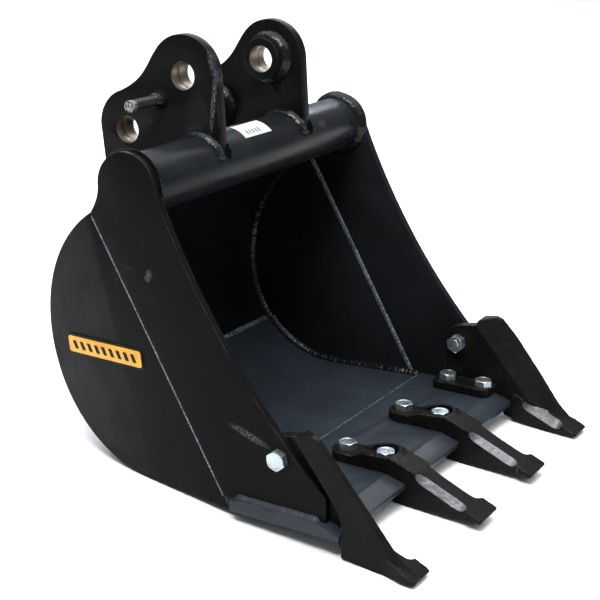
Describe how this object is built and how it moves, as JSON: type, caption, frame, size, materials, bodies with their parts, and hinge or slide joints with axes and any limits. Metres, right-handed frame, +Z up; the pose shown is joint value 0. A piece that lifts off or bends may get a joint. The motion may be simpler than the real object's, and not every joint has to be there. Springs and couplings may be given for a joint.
{
  "type": "excavator bucket",
  "caption": "Narrow digging bucket for a small excavator: rolled bowl with tapered rear, hanger ears with two pin bores, bolt-on cast teeth.",
  "frame": {"origin": "on the axis of the stick pin bores, midway between the two ears", "axes": "+X across the bucket along the pin axes, -Y forward to the teeth, +Z up as the bucket rests on level ground on its heel and tooth legs"},
  "size_m": [0.42, 0.4716, 0.4301],
  "materials": {
    "plate_paint": "satin charcoal paint, lightly scuffed",
    "shell_paint": "satin charcoal paint",
    "painted_weld": "painted weld bead, glossy ripples",
    "tooth_casting": "black primed steel casting, fine grain",
    "zinc_fastener": "blue-silver zinc plate",
    "stud_steel": "painted stud with bare thread at its end",
    "badge_face": "yellow enamel, plain",
    "badge_backing": "black film",
    "paper_label": "white sticker with plain grey bars"
  },
  "bodies": {
    "root": {"back_wrapper": "shell_paint", "badge_backing": "badge_backing", "badge_plate": "badge_face", "boss_welds": "painted_weld", "cross_welds": "painted_weld", "cutting_edge": "shell_paint", "ear_tube_welds": "painted_weld", "ear_wrapper_welds": "painted_weld", "floor_plate": "shell_paint", "fold_welds": "painted_weld", "inside_corner_welds": "painted_weld", "keeper_stud": "stud_steel", "ledge_welds": "painted_weld", "left_centre_tooth": "tooth_casting", "left_corner_tooth": "tooth_casting", "left_ear": "plate_paint", "left_link_boss": "plate_paint", "left_rear_plate": "plate_paint", "left_side_plate": "plate_paint", "left_stick_boss": "plate_paint", "lip_bolts": "zinc_fastener", "lip_nuts": "zinc_fastener", "right_centre_tooth": "tooth_casting", "right_corner_tooth": "tooth_casting", "right_ear": "plate_paint", "right_link_boss": "plate_paint", "right_rear_plate": "plate_paint", "right_side_plate": "plate_paint", "right_stick_boss": "plate_paint", "side_bolts": "zinc_fastener", "side_nuts": "zinc_fastener", "stud_weld": "painted_weld", "torsion_tube": "plate_paint", "tube_end_welds": "painted_weld", "tube_label": "paper_label"}
  },
  "joints": []
}
